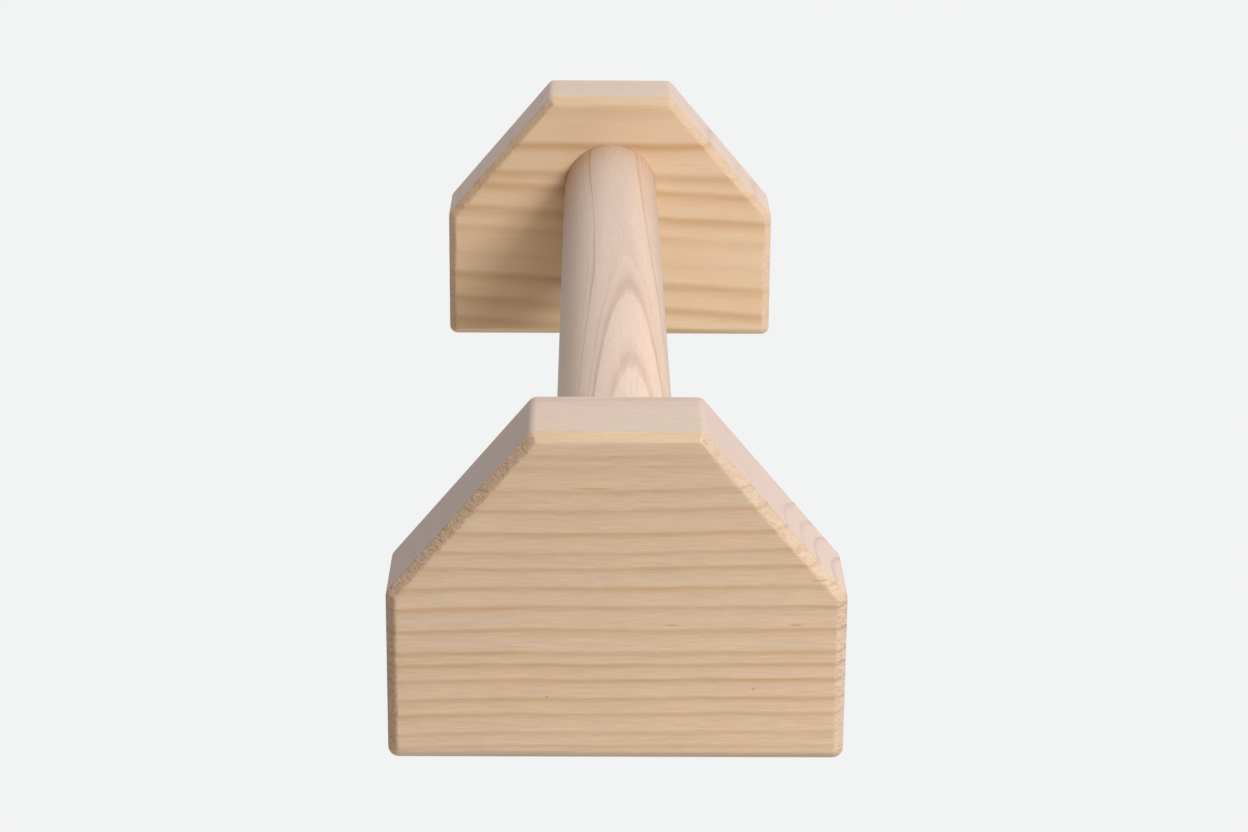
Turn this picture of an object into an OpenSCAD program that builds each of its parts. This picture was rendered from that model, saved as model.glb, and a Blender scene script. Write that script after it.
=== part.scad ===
// Low wooden floor bar, a parallette: one round grip bar held at both ends by a
// softwood foot with sloping shoulders. All sizes are in millimetres.
// The origin is on the floor, under the middle of the bar. +Y runs along the
// bar from the front foot to the rear foot, +X is to the right and +Z is up.

/* [Feet] */
// Width of each foot, across the bar
foot_w = 124; // [90:1:220]
// Height of each foot
foot_h = 94; // [80:1:180]
// Thickness of the board that each foot is cut from
foot_t = 34; // [26:0.5:80]
// Height of the upright sides, up to where the shoulders slope in
shoulder_h = 48; // [15:1:78]
// Width of the flat top between the shoulders
top_w = 46; // [20:1:110]
// Radius that rounds the six corners of the outline
corner_r = 3; // [2.6:0.1:10]
// Width of the 45 degree chamfer around both faces
chamfer = 2.5; // [0.5:0.1:2.8]

/* [Grip bar] */
// Diameter of the bar
bar_d = 35; // [25:0.5:45]
// Length of bar that shows between the two feet
grip_l = 360; // [150:5:900]
// Length of bar that sits inside each foot
tenon_l = 20; // [12:1:28]
// Chamfer on the two hidden ends of the bar
bar_chamfer = 1; // [0.5:0.1:3]

/* [Socket] */
// Wood left in the foot above the bar
cover_h = 18; // [8:1:30]
// Glue gap all round the bar in its socket
glue_gap = 0.05; // [0.02:0.01:0.3]
// Free space between the end of the bar and the bottom of the socket
end_gap = 0.5; // [0.2:0.1:2]

/* [Locking screws] */
// Outer diameter of the thread
screw_d = 5; // [4:0.5:6]
// Diameter of the smooth shank and of the core inside the thread
core_d = 3.4; // [2.6:0.1:3.8]
// Diameter of the countersunk head
head_d = 10; // [8:0.5:12]
// Upright rim of the head, under its flat face
head_rim = 0.6; // [0.3:0.1:1]
// Distance from one thread ring to the next
pitch = 2.4; // [1.8:0.1:3]
// Length of the threaded part, with the tip
thread_l = 26; // [20:1:27]
// Length of the pointed tip
tip_l = 4; // [3:0.5:6]
// Depth that the tip reaches into the bar
bite = 16; // [8:1:22]
// Depth of the head's flat face above the underside of the foot
head_sink = 12; // [6:1:15]
// Diameter of the counterbore that the head goes up through
counterbore_d = 12; // [12:0.5:16]
// Clearance around the screw's shank in the foot, on the radius
shank_gap = 0.3; // [0.1:0.05:0.8]
// Clearance between the thread and the wood of the bar, on the radius
thread_gap = 0.05; // [0.02:0.01:0.2]
// Span of the cross recess in the head
recess_span = 5; // [4:0.1:5.5]
// Width of each arm of the cross recess
recess_w = 1.1; // [0.8:0.1:1.6]
// Depth of the cross recess
recess_depth = 2; // [1:0.1:2.6]

/* [Hidden] */

$fn = 96;
// Flats that make up each rounded corner of the feet
arc_steps = 6;
// Cuts run this far past the face that they open through
through = 1;

bar_r = bar_d / 2;
bar_z = foot_h - cover_h - bar_r;
bar_l = grip_l + 2 * tenon_l;
socket_r = bar_r + glue_gap;
socket_depth = tenon_l + end_gap;

thread_r = screw_d / 2;
core_r = core_d / 2;
head_r = head_d / 2;
bar_underside = bar_z - bar_r;
// The screw is as long as it takes to reach from its head's seat into the bar
screw_l = bar_underside + bite - head_sink;
// Each screw stands under the middle of its tenon
screw_inset = tenon_l / 2;
screw_y = grip_l / 2 + screw_inset;
// Top of the countersunk cone, where the shank begins
cone_top = head_rim + head_r - core_r;
ring_count = floor((thread_l - tip_l) / pitch);
thread_start = screw_l - tip_l - ring_count * pitch;
// A thread ring's flat crest, as shares of the pitch
crest_from = 0.42;
crest_to = 0.58;

foot_colour = [0.80, 0.68, 0.57];
rear_foot_colour = [0.86, 0.73, 0.59];
bar_colour = [0.87, 0.77, 0.69];
screw_colour = [0.76, 0.74, 0.68];

// The foot's outline with sharp corners, anticlockwise: x across, y up
foot_outline = [
    [-foot_w / 2, 0],
    [foot_w / 2, 0],
    [foot_w / 2, shoulder_h],
    [top_w / 2, foot_h],
    [-top_w / 2, foot_h],
    [-foot_w / 2, shoulder_h]
];
sides = len(foot_outline);

function unit(v) = v / norm(v);

// Direction from one point to the next
function heading(from, to) = atan2(to[1] - from[1], to[0] - from[0]);

// Centre of the arc that rounds corner p between its neighbours a and b
function arc_centre(a, p, b) =
    let (
        u = unit(a - p),
        v = unit(b - p),
        half_angle = acos(u * v) / 2
    )
    p + unit(u + v) * corner_r / sin(half_angle);

// Points of radius r round that centre, from the one side's end to the other's
function arc_points(a, p, b, r) =
    let (
        centre = arc_centre(a, p, b),
        first = heading(a, p) - 90,
        turn = (heading(p, b) - heading(a, p) + 360) % 360
    )
    [
        for (s = [0 : arc_steps])
            let (angle = first + turn * s / arc_steps)
            centre + r * [cos(angle), sin(angle)]
    ];

// The whole outline with rounded corners, moved inwards by an inset
function rounded_outline(inset) = [
    for (i = [0 : sides - 1])
        each arc_points(
            foot_outline[(i + sides - 1) % sides],
            foot_outline[i],
            foot_outline[(i + 1) % sides],
            corner_r - inset
        )
];

// The board of a foot, lying on its inner face with its underside towards -y
module foot_board() {
    hull() {
        linear_extrude(foot_t) polygon(rounded_outline(chamfer));
        translate([0, 0, chamfer])
            linear_extrude(foot_t - 2 * chamfer)
            polygon(rounded_outline(0));
    }
}

// Counterbore, countersink and clearance hole for a screw that stands at z = 0
module screw_way() {
    translate([0, 0, -head_sink - through])
        cylinder(d = counterbore_d, h = head_sink + through + head_rim);
    translate([0, 0, head_rim])
        cylinder(r1 = head_r, r2 = core_r, h = cone_top - head_rim);
    cylinder(r = thread_r + shank_gap, h = bar_underside - head_sink + through);
}

// The front foot: its inner face is where the visible bar begins
module foot() {
    difference() {
        translate([0, -grip_l / 2, 0]) rotate([90, 0, 0]) foot_board();
        translate([0, -grip_l / 2 + through, bar_z])
            rotate([90, 0, 0])
            cylinder(r = socket_r, h = socket_depth + through);
        translate([0, -screw_y, head_sink]) screw_way();
    }
}

// Outline of the thread from its start to the tip, grown outwards by a gap
function thread_points(gap) = [
    for (i = [0 : ring_count - 1]) each [
        [core_r + gap, thread_start + i * pitch],
        [thread_r + gap, thread_start + (i + crest_from) * pitch],
        [thread_r + gap, thread_start + (i + crest_to) * pitch]
    ],
    [core_r + gap, screw_l - tip_l],
    [0, screw_l + gap]
];

// The threaded part of the screw, grown by a gap to make the hole that it cuts
module thread(gap = 0) {
    rotate_extrude(convexity = 4)
        polygon(concat([[0, thread_start]], thread_points(gap)));
}

// Countersunk wood screw, head down at z = 0 and tip up
module wood_screw() {
    difference() {
        union() {
            cylinder(r = head_r, h = head_rim);
            translate([0, 0, head_rim])
                cylinder(r1 = head_r, r2 = core_r, h = cone_top - head_rim);
            cylinder(r = core_r, h = thread_start);
            thread();
        }
        for (turn = [0, 90])
            rotate([0, 0, turn])
            translate([-recess_span / 2, -recess_w / 2, -through])
            cube([recess_span, recess_w, recess_depth + through]);
    }
}

module front_foot() {
    color(foot_colour) foot();
}

module rear_foot() {
    color(rear_foot_colour) mirror([0, 1, 0]) foot();
}

// Both ends of the bar are chamfered, and each has the hole its screw cuts
module grip_bar() {
    color(bar_colour)
    difference() {
        translate([0, bar_l / 2, bar_z])
            rotate([90, 0, 0])
            rotate_extrude()
            polygon([
                [0, 0],
                [bar_r - bar_chamfer, 0],
                [bar_r, bar_chamfer],
                [bar_r, bar_l - bar_chamfer],
                [bar_r - bar_chamfer, bar_l],
                [0, bar_l]
            ]);
        for (end = [-1, 1])
            translate([0, end * screw_y, head_sink]) thread(thread_gap);
    }
}

module front_screw() {
    color(screw_colour) translate([0, -screw_y, head_sink]) wood_screw();
}

module rear_screw() {
    color(screw_colour) translate([0, screw_y, head_sink]) wood_screw();
}

front_foot();
rear_foot();
grip_bar();
front_screw();
rear_screw();
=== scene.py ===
"""Visual model of a low wooden floor bar (parallette): two feet, a grip bar and two locking screws.

Lengths are in metres and colours are linear unless a name says otherwise. The frame is the CAD
model's own: the floor is z = 0, +Y runs along the bar to the rear foot, and +X is to the right.
"""
import math

import bmesh
import bpy
from mathutils import Euler, Matrix, Vector, noise


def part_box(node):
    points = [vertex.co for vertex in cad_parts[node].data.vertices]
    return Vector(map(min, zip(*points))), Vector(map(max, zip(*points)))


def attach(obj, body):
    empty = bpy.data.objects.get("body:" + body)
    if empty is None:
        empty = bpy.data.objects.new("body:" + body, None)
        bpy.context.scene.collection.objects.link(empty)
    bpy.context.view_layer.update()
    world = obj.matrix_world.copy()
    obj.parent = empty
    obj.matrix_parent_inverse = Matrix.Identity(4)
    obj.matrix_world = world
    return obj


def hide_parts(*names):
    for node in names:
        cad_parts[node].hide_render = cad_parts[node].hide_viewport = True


MM = 0.001

# Sizes that the CAD model has and that its boxes don't give
SHOULDER_HEIGHT = 48 * MM
TOP_WIDTH = 46 * MM
CORNER_RADIUS = 3 * MM
CHAMFER = 2.5 * MM
GLUE_GAP = 0.05 * MM
TENON_LENGTH = 20 * MM
SOCKET_DEPTH = 20.5 * MM
COUNTERBORE_RADIUS = 6 * MM
HEAD_RADIUS = 5 * MM
HEAD_RIM = 0.6 * MM
SHANK_RADIUS = 1.7 * MM
SHANK_HOLE_RADIUS = 2.8 * MM

# Radii that sanding has left where a chamfer meets the side of a foot and its face
EDGE_SOFTENING = 1.0 * MM
FACE_SOFTENING = 1.8 * MM
# How unevenly the chamfers are sanded, and the two scales of it (noise cells per metre)
SANDING_WOBBLE = 0.16 * MM
SLOW_WOBBLE = 45
QUICK_WOBBLE = 140

# Edges that turn by more than this are shaded as sharp
SHARP_ANGLE = math.radians(32)
# Cutters run this far past the face that they open through
CUT_SPARE = 2 * MM
# Points closer than this after a cut are the same point
WELD_DISTANCE = 0.001 * MM
# A foot's outline: steps in each rounded corner, and the length of a step along its sides
CORNER_STEPS = 8
SIDE_STEP = 2.5 * MM
# Steps in each softened edge of a chamfer
SOFT_STEPS = 6


# ---------------------------------------------------------------- mesh helpers

def new_piece(name, mesh_data, body="root"):
    """A new object that rides on a body."""
    piece = bpy.data.objects.new(name, mesh_data)
    bpy.context.scene.collection.objects.link(piece)
    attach(piece, body)
    return piece


def ring_strip(mesh, lower, upper):
    """Joins two closed rings of equal length with quads."""
    count = len(lower)
    for i in range(count):
        j = (i + 1) % count
        mesh.faces.new((lower[i], lower[j], upper[j], upper[i]))


def finish_mesh(mesh, name):
    """Writes a bmesh to mesh data, smooth except across sharp edges."""
    bmesh.ops.recalc_face_normals(mesh, faces=mesh.faces)
    for face in mesh.faces:
        face.smooth = True
    for edge in mesh.edges:
        edge.smooth = len(edge.link_faces) == 2 and edge.calc_face_angle(0) < SHARP_ANGLE
    data = bpy.data.meshes.new(name)
    mesh.to_mesh(data)
    mesh.free()
    return data


def revolve(profile, centre, segments=64):
    """A closed bmesh turned round Z from (radius, height) points that start and end on the axis."""
    mesh = bmesh.new()
    rings = []
    for radius, height in profile[1:-1]:
        ring = []
        for i in range(segments):
            angle = 2 * math.pi * i / segments
            point = Vector((radius * math.cos(angle), radius * math.sin(angle), height))
            ring.append(mesh.verts.new(centre + point))
        rings.append(ring)
    for lower, upper in zip(rings, rings[1:]):
        ring_strip(mesh, lower, upper)
    for ring, (_, height) in ((rings[0], profile[0]), (rings[-1], profile[-1])):
        tip = mesh.verts.new(centre + Vector((0, 0, height)))
        for i in range(segments):
            mesh.faces.new((ring[i], ring[(i + 1) % segments], tip))
    bmesh.ops.recalc_face_normals(mesh, faces=mesh.faces)
    return mesh


def cut(mesh, cutters, name):
    """The mesh with every cutter taken out of it, as a new bmesh."""
    body = bpy.data.objects.new(name, finish_mesh(mesh, name))
    bpy.context.scene.collection.objects.link(body)
    tools = []
    for cutter in cutters:
        tool = bpy.data.objects.new(name + "_cutter", finish_mesh(cutter, name + "_cutter"))
        bpy.context.scene.collection.objects.link(tool)
        modifier = body.modifiers.new("cut", "BOOLEAN")
        modifier.operation = "DIFFERENCE"
        modifier.solver = "EXACT"
        modifier.object = tool
        tools.append(tool)
    graph = bpy.context.evaluated_depsgraph_get()
    result = bmesh.new()
    result.from_mesh(body.evaluated_get(graph).to_mesh())
    bmesh.ops.remove_doubles(result, verts=result.verts, dist=WELD_DISTANCE)
    for item in tools + [body]:
        bpy.data.objects.remove(item)
    return result


# ---------------------------------------------------------------- the feet

def foot_corners(width, height):
    """The foot's outline with sharp corners, anticlockwise as seen from the front: (x, z)."""
    return [
        Vector((-width / 2, 0)),
        Vector((width / 2, 0)),
        Vector((width / 2, SHOULDER_HEIGHT)),
        Vector((TOP_WIDTH / 2, height)),
        Vector((-TOP_WIDTH / 2, height)),
        Vector((-width / 2, SHOULDER_HEIGHT)),
    ]


def rounded_outline(corners, inset, radius):
    """Points round the outline, moved inwards by inset and rounded to radius at its corners."""
    arcs = []
    for i, corner in enumerate(corners):
        arrive = (corner - corners[i - 1]).normalized()
        leave = (corners[(i + 1) % len(corners)] - corner).normalized()
        turn = arrive.angle_signed(leave) * -1
        middle = (leave - arrive).normalized()
        half_angle = (math.pi - turn) / 2
        centre = corner + middle * (inset + radius) / math.sin(half_angle)
        start = math.atan2(arrive.y, arrive.x) - math.pi / 2
        arcs.append([
            centre + radius * Vector((math.cos(start + turn * s / CORNER_STEPS),
                                      math.sin(start + turn * s / CORNER_STEPS)))
            for s in range(CORNER_STEPS + 1)
        ])
    points = []
    for i, arc in enumerate(arcs):
        following = arcs[(i + 1) % len(arcs)][0]
        side = corners[(i + 1) % len(corners)] - corners[i]
        steps = max(1, round(side.length / SIDE_STEP))
        points += arc
        points += [arc[-1].lerp(following, s / steps) for s in range(1, steps)]
    return points


def edge_profile():
    """Rings from one face of a foot round its edge to the side: (inset, depth, corner radius)."""
    flat = 1.2 * MM
    trim = FACE_SOFTENING * math.tan(math.pi / 8)
    rings = [(CHAMFER + trim + flat, 0), (CHAMFER + trim + 0.25 * flat, 0)]
    for s in range(SOFT_STEPS + 1):
        angle = math.pi / 4 * s / SOFT_STEPS
        rings.append((CHAMFER + trim - FACE_SOFTENING * math.sin(angle),
                      FACE_SOFTENING * (1 - math.cos(angle))))
    trim = EDGE_SOFTENING * math.tan(math.pi / 8)
    for s in range(SOFT_STEPS + 1):
        angle = math.pi / 4 * (1 + s / SOFT_STEPS)
        rings.append((EDGE_SOFTENING * (1 - math.sin(angle)),
                      CHAMFER + trim - EDGE_SOFTENING * math.cos(angle)))
    rings.append((0, CHAMFER + trim + flat))
    smallest = 0.8 * MM
    return [(inset, depth, max(CORNER_RADIUS - 0.8 * inset, smallest)) for inset, depth in rings]


def board_mesh(box, facing, seed):
    """A foot before it is drilled: chamfered, softened and slightly uneven at the chamfers.

    facing is -1 for the front foot, whose outer face looks along -Y, and 1 for the rear one.
    """
    low, high = box
    corners = foot_corners(high.x - low.x, high.z - low.z)
    thickness = high.y - low.y
    outer_y = low.y if facing < 0 else high.y
    profile = edge_profile()
    stations = profile + [(inset, thickness - depth, radius)
                          for inset, depth, radius in reversed(profile)]
    offset = Vector((seed * 7.3, seed * 3.1, seed * 5.7))
    # The faces and the sides stay flat
    margin = 0.2 * MM
    mesh = bmesh.new()
    rings = []
    for inset, depth, radius in stations:
        ring = []
        for point in rounded_outline(corners, inset, radius):
            place = Vector((point.x, outer_y - facing * depth, point.y))
            if margin < inset < CHAMFER + margin:
                slow = noise.noise(place * SLOW_WOBBLE + offset)
                quick = noise.noise(place * QUICK_WOBBLE + offset)
                place.y += facing * (slow + 0.6 * quick) * SANDING_WOBBLE
            ring.append(mesh.verts.new(place))
        rings.append(ring)
    for outer, inner in zip(rings, rings[1:]):
        ring_strip(mesh, outer, inner)
    mesh.faces.new(rings[0])
    mesh.faces.new(rings[-1])
    return mesh


def socket_cutter(inner_y, facing, bar_height, bar_radius):
    """The blind socket that the bar is glued into."""
    radius = bar_radius + GLUE_GAP
    socket = revolve(
        [(0, -CUT_SPARE), (radius, -CUT_SPARE), (radius, SOCKET_DEPTH), (0, SOCKET_DEPTH)],
        Vector((0, 0, 0)), segments=128)
    turn = Matrix.Rotation(-facing * math.pi / 2, 4, "X")
    bmesh.ops.transform(socket, verts=socket.verts,
                        matrix=Matrix.Translation((0, inner_y, bar_height)) @ turn)
    return socket


def screw_cutter(screw_y, screw_seat, bar_underside):
    """Counterbore, countersink and clearance hole, from the underside up into the socket."""
    rim_top = screw_seat + HEAD_RIM
    cone_top = rim_top + HEAD_RADIUS - SHANK_RADIUS
    # The cone stops where it is as narrow as the clearance hole
    cone_end = cone_top - (SHANK_HOLE_RADIUS - SHANK_RADIUS)
    hole_top = bar_underside + CUT_SPARE
    return revolve(
        [(0, -CUT_SPARE), (COUNTERBORE_RADIUS, -CUT_SPARE), (COUNTERBORE_RADIUS, rim_top),
         (HEAD_RADIUS, rim_top), (SHANK_HOLE_RADIUS, cone_end), (SHANK_HOLE_RADIUS, hole_top),
         (0, hole_top)],
        Vector((0, screw_y, 0)))


def foot_mesh(name, box, facing, bar_height, bar_radius, screw_seat, seed):
    """One foot with its blind socket and the way for its screw."""
    low, high = box
    inner_y = high.y if facing < 0 else low.y
    socket = socket_cutter(inner_y, facing, bar_height, bar_radius)
    screw_way = screw_cutter(inner_y + facing * TENON_LENGTH / 2, screw_seat,
                             bar_height - bar_radius)
    return finish_mesh(cut(board_mesh(box, facing, seed), [socket, screw_way], name), name)


def make_foot(node, facing, seed, bar_height, bar_radius, screw_seat):
    """The visible foot that stands for a CAD foot."""
    data = foot_mesh(node + "_board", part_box(node), facing, bar_height, bar_radius,
                     screw_seat, seed)
    piece = new_piece(node + "_board", data)
    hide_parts(node)
    return piece


# ---------------------------------------------------------------- materials

def linear(red, green, blue):
    """An sRGB colour of 0 to 255 as the linear colour that sockets take."""
    def channel(value):
        value /= 255
        return value / 12.92 if value <= 0.04045 else ((value + 0.055) / 1.055) ** 2.4
    return (channel(red), channel(green), channel(blue), 1)


class Graph:
    """Short names for building one material's node tree. A value is a socket or a number."""

    def __init__(self, name):
        self.material = bpy.data.materials.new(name)
        self.material.use_nodes = True
        self.tree = self.material.node_tree
        self.shader = self.tree.nodes["Principled BSDF"]

    def node(self, kind, **settings):
        node = self.tree.nodes.new("ShaderNode" + kind)
        for key, value in settings.items():
            setattr(node, key, value)
        return node

    def put(self, socket, value):
        if isinstance(value, bpy.types.NodeSocket):
            self.tree.links.new(value, socket)
        else:
            socket.default_value = value

    def math(self, operation, *values):
        node = self.node("Math", operation=operation)
        for socket, value in zip(node.inputs, values):
            self.put(socket, value)
        return node.outputs[0]

    def remap(self, value, low, high, new_low, new_high, smooth=False):
        node = self.node("MapRange", interpolation_type="SMOOTHSTEP" if smooth else "LINEAR")
        for socket, item in zip(node.inputs, (value, low, high, new_low, new_high)):
            self.put(socket, item)
        return node.outputs[0]

    def place_in_mm(self):
        """The point on the piece in millimetres, in the row frame."""
        node = self.node("VectorMath", operation="SCALE")
        self.put(node.inputs[0], self.node("TexCoord").outputs["Object"])
        node.inputs["Scale"].default_value = 1 / MM
        return node.outputs[0]

    def stretched(self, vector, sizes):
        """The point divided by a feature size in each direction."""
        node = self.node("VectorMath", operation="MULTIPLY")
        self.put(node.inputs[0], vector)
        node.inputs[1].default_value = [1 / size for size in sizes]
        return node.outputs[0]

    def noise(self, vector, sizes, detail=2, roughness=0.5, shift=0.0):
        """Noise of 0 to 1 whose features have these sizes in millimetres."""
        place = self.node("VectorMath", operation="ADD")
        self.put(place.inputs[0], self.stretched(vector, sizes))
        place.inputs[1].default_value = (shift, shift * 1.7, shift * 2.3)
        node = self.node("TexNoise")
        self.put(node.inputs["Vector"], place.outputs[0])
        node.inputs["Scale"].default_value = 1
        node.inputs["Detail"].default_value = detail
        node.inputs["Roughness"].default_value = roughness
        return node.outputs["Fac"]

    def swing(self, value, amount):
        """Noise of 0 to 1 as a shift of plus or minus the amount."""
        return self.math("MULTIPLY", self.math("SUBTRACT", value, 0.5), 2 * amount)

    def absolute(self, value):
        return self.math("ABSOLUTE", value)

    def but_not(self, value, mask):
        """A mask of 0 to 1 where another one doesn't hold."""
        return self.times(value, self.math("SUBTRACT", 1, mask))

    def scaled_where(self, mask, factor):
        """1 outside the mask and the factor inside it."""
        return self.math("MULTIPLY_ADD", mask, self.math("SUBTRACT", factor, 1), 1)

    def tinted(self, colour, tint):
        return self.mix(1, colour, tint, blend="MULTIPLY")

    def split(self, vector):
        """The X, Y and Z of a vector."""
        node = self.node("SeparateXYZ")
        self.put(node.inputs[0], vector)
        return node.outputs

    def add(self, first, *others):
        for other in others:
            first = self.math("ADD", first, other)
        return first

    def times(self, first, *others):
        for other in others:
            first = self.math("MULTIPLY", first, other)
        return first

    def per_ring(self, ring_number, low, high, shift=0.0):
        """A random value of its own for each ring."""
        node = self.node("TexWhiteNoise", noise_dimensions="1D")
        self.put(node.inputs["W"], self.math("ADD", ring_number, shift))
        return self.remap(node.outputs["Value"], 0, 1, low, high)

    def mix(self, factor, first, second, blend="MIX"):
        node = self.node("Mix", data_type="RGBA", blend_type=blend)
        self.put(node.inputs["Factor"], factor)
        for socket, value in ((node.inputs[6], first), (node.inputs[7], second)):
            self.put(socket, value)
        return node.outputs[2]

    def grey(self, value):
        """A number as a grey colour."""
        node = self.node("CombineColor")
        for socket in node.inputs:
            self.put(socket, value)
        return node.outputs[0]

    def ramp(self, value, stops):
        """A number through straight lines between (place, height) stops."""
        node = self.node("ValToRGB")
        self.put(node.inputs[0], value)
        elements = node.color_ramp.elements
        while len(elements) < len(stops):
            elements.new(0.5)
        for element, (place, height) in zip(elements, stops):
            element.position = place
            element.color = (height, height, height, 1)
        return node.outputs["Color"]

    def steps(self, value, heights):
        """A number of 0 to 1 as the height of the equal step that it falls on."""
        node = self.node("ValToRGB")
        self.put(node.inputs[0], value)
        node.color_ramp.interpolation = "CONSTANT"
        elements = node.color_ramp.elements
        while len(elements) < len(heights):
            elements.new(0.5)
        for i, height in enumerate(heights):
            elements[i].position = i / len(heights)
            elements[i].color = (height, height, height, 1)
        return node.outputs["Color"]

    def curve(self, value, points, smooth=False):
        """A number of 0 to 1 through points joined by straight lines or a smooth curve."""
        node = self.node("FloatCurve")
        self.put(node.inputs["Value"], value)
        line = node.mapping.curves[0]
        while len(line.points) < len(points):
            line.points.new(0.5, 0.5)
        for point, (across, up) in zip(line.points, points):
            point.location = (across, up)
            point.handle_type = "AUTO" if smooth else "VECTOR"
        node.mapping.update()
        return node.outputs["Value"]


# How dark latewood is at a distance from its sharp edge: (share of the reach in mm, darkness)
BOARD_LINE = ((0, 0.15), (0.1, 0.7), (0.2, 1), (0.33, 0.7), (0.5, 0.25), (0.9, 0))
SOFT_LINE = ((0, 0), (0.12, 0.45), (0.28, 1), (0.42, 0.9), (0.65, 0.35), (0.95, 0))
DOWEL_LINE = ((0, 0.2), (0.08, 0.9), (0.16, 1), (0.27, 0.5), (0.45, 0.14), (0.8, 0))
# No growth ring is wider than this in millimetres
WIDEST_RING = 20
# Height in millimetres at which the painted light's change with height is nil
PLAIN_HEIGHT = 45
# Torn end grain: the size of its pits in millimetres, and the colour factor between them, painted
# light on the ridges beside the painted shade in the pits
TEAR_SIZES = (2.2, 2.2, 1.1)
LIT_BETWEEN_PITS = (1.04, 1.04, 1.04, 1)
# Fibres along X in a board and along Y in the bar, coarse and fine, in millimetres
BOARD_FIBRES = ((14, 0.8, 0.8), (5, 0.35, 0.35))
DOWEL_FIBRES = ((0.8, 14, 0.8), (0.35, 5, 0.35))


def lay_rings(g, coordinate, rings, strengths):
    """Where a point lies among growth rings: ring number, place in it, its width, its strength."""
    count = len(rings) - 1
    low, high = rings[0], rings[-1]
    points = [((ring - low) / (high - low), i / count) for i, ring in enumerate(rings)]
    index = g.times(g.curve(g.remap(coordinate, low, high, 0, 1), points), count)
    number = g.math("FLOOR", index)
    middle = g.math("DIVIDE", g.math("ADD", number, 0.5), count)
    widths = [(upper - lower) / WIDEST_RING for lower, upper in zip(rings, rings[1:])]
    width = g.times(g.steps(middle, widths), WIDEST_RING)
    return number, g.math("FRACT", index), width, g.steps(middle, strengths)


def wood_masks(g, grain_axis):
    """Where a wood's surface is end grain, a torn chamfer, or a chamfer along the grain that gets a
    painted highlight.
    """
    normal = g.split(g.node("TexCoord").outputs["Normal"])
    along_grain = g.absolute(normal["XYZ".index(grain_axis)])
    sideways = g.absolute(normal["XYZ".index("Y" if grain_axis == "X" else "X")])
    upright = g.absolute(normal["XYZ".index("Z")])
    end_grain = g.remap(along_grain, 0.35, 0.85, 0, 1, smooth=True)
    # Only the chamfers at the ends of the grain look along it and sideways at once
    torn = g.remap(g.times(along_grain, sideways), 0.12, 0.34, 0, 1, smooth=True)
    # Chamfers along the grain, half upright and half sideways, get a painted highlight of the light
    # that falls on them
    highlit_chamfer = g.but_not(g.remap(g.times(upright, sideways), 0.32, 0.5, 0, 1, smooth=True), torn)
    return end_grain, torn, highlit_chamfer


def fade_lines(g, line, x, z, end_grain, torn, looks):
    """Thinner latewood lines on the ends, where they also show less at one end and higher up."""
    left_end, right_end = looks["end_lines"]
    strength = g.times(g.remap(x, -1, 1, left_end, right_end),
                       g.remap(z, *looks["end_lines_stop"], 1, 0.1))
    end_face = g.but_not(end_grain, torn)
    line = g.math("POWER", line, g.add(1, g.times(end_face, 1.5), g.times(torn, 2.5)))
    return g.times(line, g.scaled_where(end_face, strength))


def plain_colour(g, place, x, z, ring_number, band, streaks, end_grain, looks):
    """Earlywood and latewood with patches and streaks, under painted light that changes slowly
    across the piece.
    """
    patches = g.remap(g.noise(place, looks["patch_sizes"], detail=3, shift=5.3), 0.35, 0.65, 0, 1)
    ring_tint = g.per_ring(ring_number, 0, looks["ring_tint"], shift=17.0)
    tint = g.math("MULTIPLY_ADD", patches, 0.6, ring_tint)
    early = g.mix(tint, looks["early_a"], looks["early_b"])
    late = g.mix(end_grain, looks["late"], looks["late_end"])
    colour = g.mix(g.times(band, looks["late_amount"]), early, late)
    # Painted light and shade: the wood gets paler or darker across and up the piece, as the light
    # falls on it
    painted_light_x, painted_light_z = looks["pale"]
    painted_light_factor = g.add(g.times(x, painted_light_x), g.times(z, painted_light_z), 1 - PLAIN_HEIGHT * painted_light_z)
    return g.tinted(colour, g.grey(g.times(streaks, painted_light_factor)))


def worked_colour(g, colour, pores, tears, masks, looks):
    """The colour with open pores on end grain, painted shade in the pits of torn chamfers and a
    painted highlight on chamfers along the grain.
    """
    end_grain, torn, highlit_chamfer = masks
    pore_shade = g.grey(g.remap(pores, 0.3, 0.6, looks["pore_dark"], 1.0))
    end_colour = g.tinted(g.tinted(colour, pore_shade), looks["end_tint"])
    colour = g.mix(end_grain, colour, end_colour)
    # Torn chamfers are darker and warmer in their pits, as painted shade, and a little paler
    # between them, as painted light
    pit_shade = g.mix(g.remap(tears, 0.38, 0.54, 0, 1), looks["torn_pit_shade"], LIT_BETWEEN_PITS)
    torn_colour = g.tinted(g.tinted(colour, pit_shade), looks["torn_tint"])
    colour = g.mix(torn, colour, torn_colour)
    # Chamfers along the grain are made paler and warmer: a painted highlight
    return g.mix(highlit_chamfer, colour, g.tinted(colour, looks["chamfer_highlight_tint"]))


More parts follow.
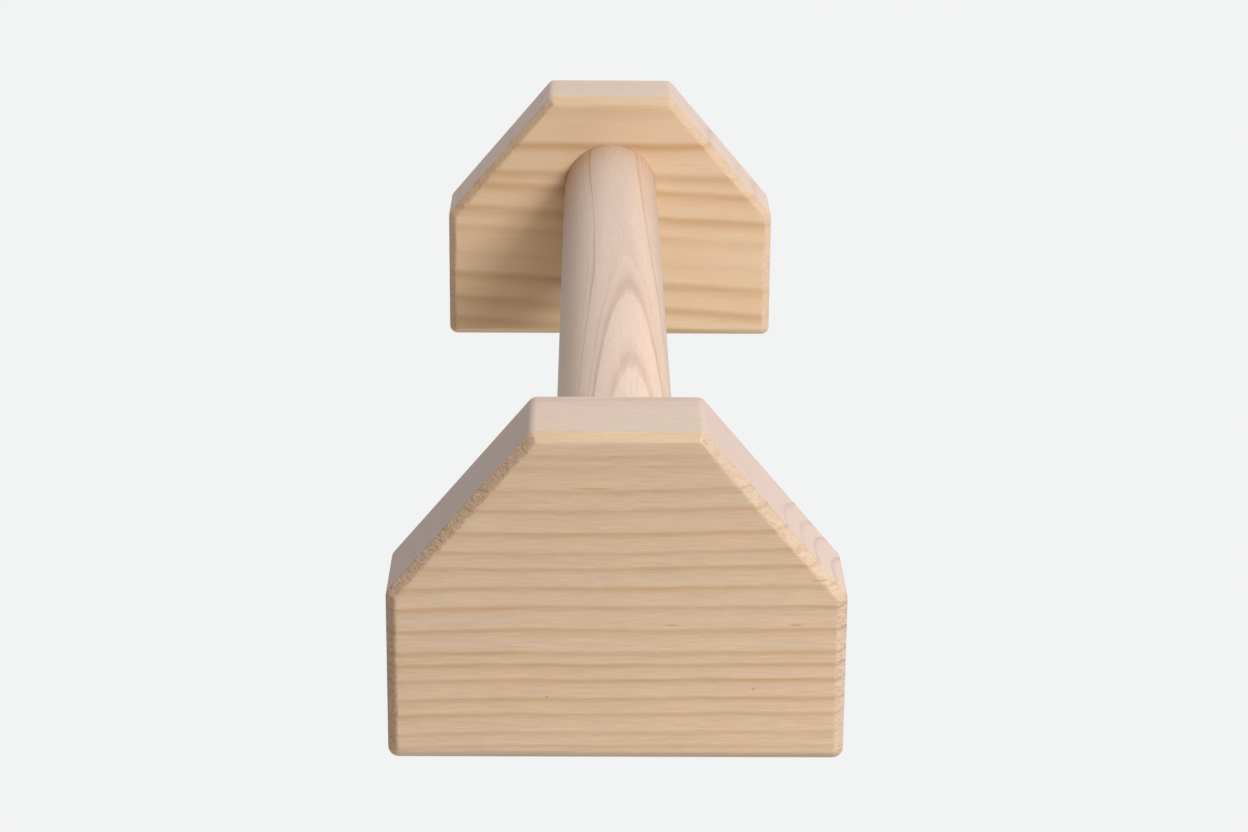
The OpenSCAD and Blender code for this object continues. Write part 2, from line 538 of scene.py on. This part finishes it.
def finish_wood(g, place, ring_number, line, looks, fibre_sizes, grain_axis):
    """Colour, roughness and relief of a wood whose latewood lines are already laid out."""
    masks = wood_masks(g, grain_axis)
    end_grain, torn, _ = masks
    x, _, z = g.split(place)
    coarse = g.noise(place, fibre_sizes[0], detail=3, roughness=0.6, shift=1.9)
    fine = g.noise(place, fibre_sizes[1], detail=2, roughness=0.6, shift=8.7)
    pores = g.noise(place, looks["pore_sizes"], detail=3, roughness=0.7, shift=4.4)
    tears = g.noise(place, TEAR_SIZES, detail=4, roughness=0.7, shift=9.2)

    # Each line is stronger in some stretches than in others
    lengths = g.noise(place, [5 * size for size in fibre_sizes[0]], shift=3.1)
    broken = g.remap(lengths, 0.3, 0.7, 0.6, 1.1)
    line = fade_lines(g, line, x, z, end_grain, torn, looks)
    band = g.times(line, broken, g.math("MULTIPLY_ADD", torn, looks["torn_lines"], 1))
    streaks = g.add(1, g.swing(coarse, looks["coarse_streaks"]),
                    g.swing(fine, looks["fine_streaks"]))
    colour = plain_colour(g, place, x, z, ring_number, band, streaks, end_grain, looks)
    g.put(g.shader.inputs["Base Color"], worked_colour(g, colour, pores, tears, masks, looks))

    roughness = g.add(looks["roughness"], g.swing(coarse, 0.06), g.times(band, -0.05))
    g.put(g.shader.inputs["Roughness"], roughness)
    g.shader.inputs["IOR"].default_value = looks["ior"]
    relief = g.add(g.times(coarse, 0.5), g.times(fine, 0.3), g.times(band, 0.1),
                   g.times(pores, end_grain, 0.8), g.times(g.swing(tears, 9), torn))
    bump = g.node("Bump")
    g.put(bump.inputs["Height"], relief)
    bump.inputs["Strength"].default_value = 1
    bump.inputs["Distance"].default_value = looks["relief"]
    g.put(g.shader.inputs["Normal"], bump.outputs[0])
    return g


def board_wood(name, looks):
    """A board with its grain along X, whose growth rings lie across its faces."""
    g = Graph(name)
    place = g.place_in_mm()
    x, y, z = g.split(place)
    depth = g.math("DIVIDE", g.math("SUBTRACT", y, looks["face_y"]), looks["thickness"])
    # The rings arch inside the board, so the sloping ends cut them as curves
    apex = looks["arch_apex"]
    from_apex = g.math("DIVIDE", g.math("SUBTRACT", depth, apex), apex)
    arch = g.times(g.math("SUBTRACT", 1, g.times(from_apex, from_apex)), looks["arch"])
    # The lines bend differently in the lower and the upper part of the face
    upper = g.remap(z, *looks["upper_part"], 0, 1, smooth=True)
    half_width = looks["half_width"]
    left = g.remap(x, -half_width, -0.3 * half_width, 1, 0)
    right = g.remap(x, 0, half_width, 0, 1)
    bends = g.add(
        g.times(left, left, g.remap(upper, 0, 1, *looks["left_bend"])),
        g.times(right, g.remap(upper, 0, 1, *looks["right_bend"])),
        g.times(x, g.remap(upper, 0, 1, *looks["tilt"])))
    wave = g.noise(place, (50, 40, 30), detail=1, shift=looks["shift"])
    ripple = g.noise(place, (16, 12, 9), detail=2, shift=looks["shift"] + 2)
    height = g.add(z, g.times(arch, -1), g.times(bends, -1),
                   g.swing(wave, looks["wave"]), g.swing(ripple, looks["ripple"]))
    number, in_ring, width, strength = lay_rings(g, height, looks["rings"], looks["strengths"])
    below_line = g.times(g.math("SUBTRACT", 1, in_ring), width, 1 / looks["line_reach"])
    line = g.times(g.ramp(below_line, looks["line"]), strength)
    for fleck in looks["flecks"]:
        line = g.math("MAXIMUM", line, add_fleck(g, x, z, depth, fleck))
    return finish_wood(g, place, number, line, looks, BOARD_FIBRES, "X").material


def add_fleck(g, x, z, depth, fleck):
    """A short dark mark on the face that the depth starts from."""
    middle_x, middle_z, length, thickness, darkness = fleck
    across = g.math("DIVIDE", g.math("SUBTRACT", x, middle_x), length / 2)
    up = g.math("DIVIDE", g.math("SUBTRACT", z, middle_z), thickness / 2)
    reach = g.add(g.times(across, across), g.times(up, up), g.remap(depth, 0.05, 0.1, 0, 9))
    return g.remap(reach, 0, 1, darkness, 0, smooth=True)


def dowel_wood(name, looks):
    """A round bar with its grain along Y, cut from rings whose centre is an axis below it."""
    g = Graph(name)
    place = g.place_in_mm()
    x, y, z = g.split(place)
    lean = g.remap(y, 0, 160, *looks["lean"])
    to_pith = looks["pith_distance"] - looks["radius"]
    across = g.math("ADD", x, g.times(g.math("SINE", lean), to_pith))
    up = g.add(z, -looks["axis_height"], g.times(g.math("COSINE", lean), to_pith))
    radial = g.math("SQRT", g.add(g.times(across, across), g.times(up, up)))
    half_length = looks["half_length"]
    rises = looks["rises"]
    lowest, highest = rises[0][1], rises[-1][1]
    points = [(place_y, (rise - lowest) / (highest - lowest)) for place_y, rise in rises]
    climb = g.remap(g.curve(g.remap(y, -half_length, half_length, 0, 1), points, smooth=True),
                    0, 1, lowest, highest)
    wave = g.noise(place, (14, 90, 14), detail=2, shift=looks["shift"])
    ripple = g.noise(place, (5, 30, 5), detail=2, shift=looks["shift"] + 2)
    grown = g.add(looks["pith_distance"], g.times(radial, -1), climb,
                  g.swing(wave, looks["wave"]), g.swing(ripple, looks["ripple"]))
    number, in_ring, width, strength = lay_rings(g, grown, looks["rings"], looks["strengths"])
    # Near the middle the bar's surface runs almost along the rings and would spread the lines out
    aside = g.absolute(across)
    spread = g.remap(aside, 1.5, 9, 0.12, 1.0)
    from_line = g.math("DIVIDE", g.times(in_ring, width, 1 / looks["line_reach"]), spread)
    line = g.times(g.ramp(from_line, looks["line"]), strength, g.remap(aside, 2, 11, 1, 0.65))
    return finish_wood(g, place, number, line, looks, DOWEL_FIBRES, "Y").material


def zinc_steel(name):
    """Bright zinc plate with the faint cloudiness of its crystals and turning marks."""
    g = Graph(name)
    place = g.place_in_mm()
    cloud = g.noise(place, (1.6, 1.6, 1.6), detail=4, shift=2.0)
    colour = g.mix(g.remap(cloud, 0.35, 0.65, 0, 1), linear(176, 176, 170),
                   linear(205, 203, 192))
    g.put(g.shader.inputs["Base Color"], colour)
    g.shader.inputs["Metallic"].default_value = 1
    g.put(g.shader.inputs["Roughness"], g.remap(cloud, 0.3, 0.7, 0.26, 0.42))
    bump = g.node("Bump")
    g.put(bump.inputs["Height"], g.noise(place, (0.3, 0.3, 0.12), detail=2, shift=6.0))
    bump.inputs["Distance"].default_value = 0.01 * MM
    g.put(g.shader.inputs["Normal"], bump.outputs[0])
    return g.material


# What the three woods share. The growth rings' heights were read off the reference photo, and the
# colours were adjusted against it
WOOD = {
    "late_amount": 1.0,
    "ring_tint": 0.4,
    "patch_sizes": (60, 14, 11),
    "coarse_streaks": 0.12,
    "fine_streaks": 0.14,
    "pore_sizes": (0.9, 0.9, 0.9),
    "pore_dark": 0.95,
    "end_tint": (1, 1, 1, 1),
    "end_lines": (1.0, 1.0),
    "end_lines_stop": (200, 201),
    # Darker, warmer pits on torn chamfers: painted shade
    "torn_pit_shade": (0.93, 0.86, 0.78, 1),
    "torn_tint": (0.99, 0.99, 0.96, 1),
    "torn_lines": 0.3,
    # Paler, warmer chamfers along the grain: a painted highlight
    "chamfer_highlight_tint": (1.08, 1.045, 0.97, 1),
    "roughness": 0.5,
    "ior": 1.5,
    "relief": 0.03 * MM,
    "flecks": (),
    # Painted light and shade: how much paler the wood gets with each millimetre across and up
    "pale": (0.0, 0.0),
}

FRONT_WOOD = WOOD | {
    # Heights at which growth rings end on the face in millimetres, and how dark each one ends
    "rings": (-18, -11, -4, 1, 5, 9, 14.5, 19, 24.5, 29, 32.5, 39, 45.5, 51, 56.5, 61, 66.5,
              73, 78.5, 85, 88, 98),
    "strengths": (0.8, 0.8, 0.6, 0.5, 0.6, 0.8, 0.8, 0.9, 0.9, 0.9, 1.0, 0.9, 0.8, 0.8, 0.7,
                  0.8, 0.8, 0.8, 0.5, 0.5, 0.5),
    "line": BOARD_LINE,
    "line_reach": 4,
    "early_a": linear(208, 184, 157),
    "early_b": linear(210, 181, 155),
    "late": linear(190, 155, 118),
    "late_end": linear(176, 143, 128),
    "end_tint": (1.0, 0.98, 1.05, 1),
    "end_lines": (0.3, 1.2),
    "end_lines_stop": (66, 71),
    "arch": 1.0,
    "arch_apex": 0.28,
    "upper_part": (44, 62),
    "left_bend": (-1.1, 0.8),
    "right_bend": (0.6, 1.8),
    "tilt": (0.0, 0.0),
    "wave": 0.5,
    "ripple": 0.3,
    "shift": 12.0,
    # Painted light: paler to the right and lower down
    "pale": (0.0005, -0.0019),
    # Small dark marks: middle across, middle up, length, thickness, darkness
    "flecks": (
        (-6, 78.6, 15, 0.9, 1.3),
        (15, 39.8, 6, 0.6, 1.5),
        (48, 40.0, 5, 0.6, 1.5),
        (37, 21.4, 1.2, 0.9, 1.6),
        (-18.7, 18.9, 0.9, 0.9, 2.0),
        (54, 52.8, 6, 0.6, 1.4),
    ),
}

REAR_WOOD = WOOD | {
    "rings": (-18, -10, -3, 5, 13.5, 23.5, 32, 42, 50, 60, 66, 77.5, 91, 98),
    "strengths": (0.8, 0.8, 0.7, 0.9, 1.0, 0.2, 0.5, 1.0, 1.0, 0.8, 1.1, 0.3, 0.3),
    "line": SOFT_LINE,
    "line_reach": 7,
    "late_amount": 0.9,
    "early_a": linear(229, 200, 167),
    "early_b": linear(225, 192, 156),
    "late": linear(202, 162, 118),
    "late_end": linear(205, 170, 135),
    "end_tint": (1.03, 1.03, 1.14, 1),
    "end_lines": (0.4, 0.6),
    # Painted shade in the pits of torn chamfers
    "torn_pit_shade": (0.96, 0.93, 0.88, 1),
    "torn_lines": -0.4,
    "fine_streaks": 0.06,
    "coarse_streaks": 0.07,
    "arch": 1.0,
    "arch_apex": 0.4,
    "upper_part": (52, 78),
    "left_bend": (0.0, 0.0),
    "right_bend": (0.0, 0.0),
    "tilt": (-0.06, 0.0),
    "wave": 0.8,
    "ripple": 0.3,
    "shift": 31.0,
    # Painted light and shade: paler to the right and lower down
    "pale": (0.0010, -0.0010),
}

BAR_WOOD = WOOD | {
    # How far the growth rings lie below the bar's upper side at each step, in millimetres
    "rings": (-3.5, -1.5, 0.6, 2.75, 3.6, 6, 7.2, 8.2, 9.3, 10.5, 12, 14, 16, 18.5, 21, 24),
    "strengths": (0.3, 0.5, 0.9, 1.0, 0.4, 0.8, 0.35, 0.3, 0.4, 0.3, 0.4, 0.3, 0.4, 0.3, 0.3),
    "line": DOWEL_LINE,
    "line_reach": 2.0,
    "early_a": linear(218, 189, 162),
    "early_b": linear(218, 185, 157),
    "late": linear(178, 134, 98),
    "late_end": linear(178, 134, 98),
    "ring_tint": 0.1,
    "patch_sizes": (8, 90, 8),
    "pith_distance": 60,
    "lean": (math.radians(18), math.radians(3)),
    # How much the rings climb along the bar: (share of its length, millimetres)
    "rises": ((0, -1.9), (0.195, 0), (0.457, 2.75), (0.5875, 3.8), (0.845, 4.35), (1, 4.5)),
    "wave": 0.18,
    "ripple": 0.05,
    "shift": 7.0,
}


def foot_material(node, looks):
    """A foot's wood, laid out from the face of it that the camera sees: its lowest Y."""
    low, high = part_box(node)
    sizes = {
        "face_y": low.y / MM,
        "thickness": (high.y - low.y) / MM,
        "half_width": (high.x - low.x) / 2 / MM,
    }
    return board_wood(node + "_wood", looks | sizes)


def bar_material():
    sizes = {
        "radius": BAR_RADIUS / MM,
        "axis_height": BAR_HEIGHT / MM,
        "half_length": BAR_HALF_LENGTH / MM,
    }
    return dowel_wood("bar_wood", BAR_WOOD | sizes)


def coat(piece, material):
    """Gives a piece one material on all its slots."""
    if not piece.material_slots:
        piece.data.materials.append(material)
    for item in piece.material_slots:
        item.material = material


# ---------------------------------------------------------------- stage

BACKDROP = (0.887, 0.896, 0.896, 1)
# Half the floor's width, and how far below the feet it lies
FLOOR_REACH = 60
FLOOR_DROP = 0.02 * MM

# Soft glows of the studio: direction, where each starts and is full (cosines), linear colour.
# The colours began as a least-squares fit to the reference photo. Most were then changed
STUDIO_GLOWS = (
    ((0, 0.75, 0.66), 0.45, 0.95, (1.02, 1.06, 1.12)),
    ((1, 0, 0.35), 0.35, 0.95, (0.50, 0.55, 0.66)),
    ((0, -0.8, -0.6), 0.3, 0.95, (0.33, 0.21, 0.06)),
    ((0, 0, 1), 0.5, 0.98, (0.14, 0.12, 0.12)),
    ((-0.95, -0.28, 0.12), 0.35, 0.95, (0.09, 0.05, 0.03)),
    ((0, -0.15, -1), 0.75, 0.98, (0.95, 1.25, 1.50)),
    ((-0.6, 0.75, 0.3), 0.45, 0.95, (0.12, 0.14, 0.19)),
    ((0.6, 0.75, 0.3), 0.45, 0.95, (0.02, 0.05, 0.16)),
)

# The camera, fitted to the object's silhouette in the reference photo: place in metres, and
# angles in radians
CAMERA_SENSOR = 36
CAMERA_LENS = 92.26
CAMERA_PLACE = (-0.0073, -1.0094, 0.3657)
CAMERA_DOWN = 0.3235
CAMERA_TURN = -0.0111
CAMERA_ROLL = 0.0077


def add_floor():
    """A very wide pale floor that fills the background."""
    mesh = bmesh.new()
    bmesh.ops.create_grid(mesh, x_segments=1, y_segments=1, size=FLOOR_REACH)
    floor = bpy.data.objects.new("floor", finish_mesh(mesh, "floor"))
    floor.location.z = -FLOOR_DROP
    bpy.context.scene.collection.objects.link(floor)
    material = bpy.data.materials.new("floor")
    material.use_nodes = True
    tree = material.node_tree
    tree.nodes.clear()
    output = tree.nodes.new("ShaderNodeOutputMaterial")
    glow = tree.nodes.new("ShaderNodeEmission")
    glow.inputs["Color"].default_value = BACKDROP
    tree.links.new(glow.outputs[0], output.inputs["Surface"])
    floor.data.materials.append(material)
    floor.visible_diffuse = False
    floor.visible_shadow = False


def add_world():
    """A pale studio: brightest behind and from below, dimmer to the right, faint to the left."""
    world = bpy.data.worlds.new("studio")
    bpy.context.scene.world = world
    world.use_nodes = True
    tree = world.node_tree
    background = tree.nodes["Background"]
    direction = tree.nodes.new("ShaderNodeTexCoord").outputs["Generated"]
    total = None
    for axis, start, full, colour in STUDIO_GLOWS:
        toward = tree.nodes.new("ShaderNodeVectorMath")
        toward.operation = "DOT_PRODUCT"
        toward.inputs[1].default_value = Vector(axis).normalized()
        tree.links.new(direction, toward.inputs[0])
        amount = tree.nodes.new("ShaderNodeMapRange")
        amount.interpolation_type = "SMOOTHSTEP"
        amount.inputs["From Min"].default_value = start
        amount.inputs["From Max"].default_value = full
        tree.links.new(toward.outputs["Value"], amount.inputs["Value"])
        glow = tree.nodes.new("ShaderNodeVectorMath")
        glow.operation = "SCALE"
        glow.inputs[0].default_value = colour
        tree.links.new(amount.outputs["Result"], glow.inputs["Scale"])
        if total is None:
            total = glow.outputs["Vector"]
        else:
            both = tree.nodes.new("ShaderNodeVectorMath")
            both.operation = "ADD"
            tree.links.new(total, both.inputs[0])
            tree.links.new(glow.outputs["Vector"], both.inputs[1])
            total = both.outputs["Vector"]
    # The camera sees the same plain backdrop above the horizon as on the floor
    seen = tree.nodes.new("ShaderNodeMix")
    seen.data_type = "RGBA"
    tree.links.new(tree.nodes.new("ShaderNodeLightPath").outputs["Is Camera Ray"],
                   seen.inputs["Factor"])
    tree.links.new(total, seen.inputs[6])
    seen.inputs[7].default_value = BACKDROP
    tree.links.new(seen.outputs[2], background.inputs["Color"])


def add_softbox(name, azimuth, elevation, size, energy, distance=1.6):
    """A round soft light that faces the object. Azimuth runs from -Y toward +X."""
    light = bpy.data.lights.new(name, "AREA")
    light.shape = "DISK"
    light.size = size
    light.energy = energy
    lamp = bpy.data.objects.new(name, light)
    direction = Vector((math.sin(azimuth) * math.cos(elevation),
                        -math.cos(azimuth) * math.cos(elevation), math.sin(elevation)))
    lamp.location = direction * distance
    lamp.rotation_mode = "QUATERNION"
    lamp.rotation_quaternion = direction.to_track_quat("Z", "Y")
    lamp.visible_camera = False
    bpy.context.scene.collection.objects.link(lamp)


def add_camera():
    """The camera of the reference photo."""
    camera = bpy.data.objects.new("camera", bpy.data.cameras.new("camera"))
    bpy.context.scene.collection.objects.link(camera)
    camera.data.sensor_width = CAMERA_SENSOR
    camera.data.lens = CAMERA_LENS
    camera.data.clip_start = 0.01
    camera.data.clip_end = 100
    aim = Euler((math.pi / 2 - CAMERA_DOWN, 0, CAMERA_TURN)).to_matrix().to_4x4()
    place = Matrix.Translation(CAMERA_PLACE)
    camera.matrix_world = place @ aim @ Matrix.Rotation(CAMERA_ROLL, 4, "Z")
    bpy.context.scene.camera = camera


# ---------------------------------------------------------------- the scene

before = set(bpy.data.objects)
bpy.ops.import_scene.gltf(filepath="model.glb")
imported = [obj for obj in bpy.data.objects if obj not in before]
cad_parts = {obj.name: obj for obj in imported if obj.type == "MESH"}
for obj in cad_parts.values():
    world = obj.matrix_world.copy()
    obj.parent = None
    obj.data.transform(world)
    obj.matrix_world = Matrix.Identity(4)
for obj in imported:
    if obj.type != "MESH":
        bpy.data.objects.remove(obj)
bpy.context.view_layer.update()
bar_low, bar_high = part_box("grip_bar")
BAR_RADIUS = (bar_high.x - bar_low.x) / 2
BAR_HEIGHT = (bar_high.z + bar_low.z) / 2
BAR_HALF_LENGTH = bar_high.y
SCREW_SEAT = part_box("front_screw")[0].z
front_foot = make_foot("front_foot", -1, 1, BAR_HEIGHT, BAR_RADIUS, SCREW_SEAT)
rear_foot = make_foot("rear_foot", 1, 2, BAR_HEIGHT, BAR_RADIUS, SCREW_SEAT)
coat(front_foot, foot_material("front_foot", FRONT_WOOD))
coat(rear_foot, foot_material("rear_foot", REAR_WOOD))
coat(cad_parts["grip_bar"], bar_material())
steel = zinc_steel("zinc_steel")
for screw in ("front_screw", "rear_screw"):
    coat(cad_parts[screw], steel)
add_floor()
add_world()
add_softbox("key", math.radians(41), math.radians(38), 0.6, 14.3)
add_softbox("fill", math.radians(16), math.radians(26), 0.8, 8.0)
add_camera()
bpy.context.scene.view_settings.view_transform = "Standard"
bpy.context.scene.view_settings.look = "None"
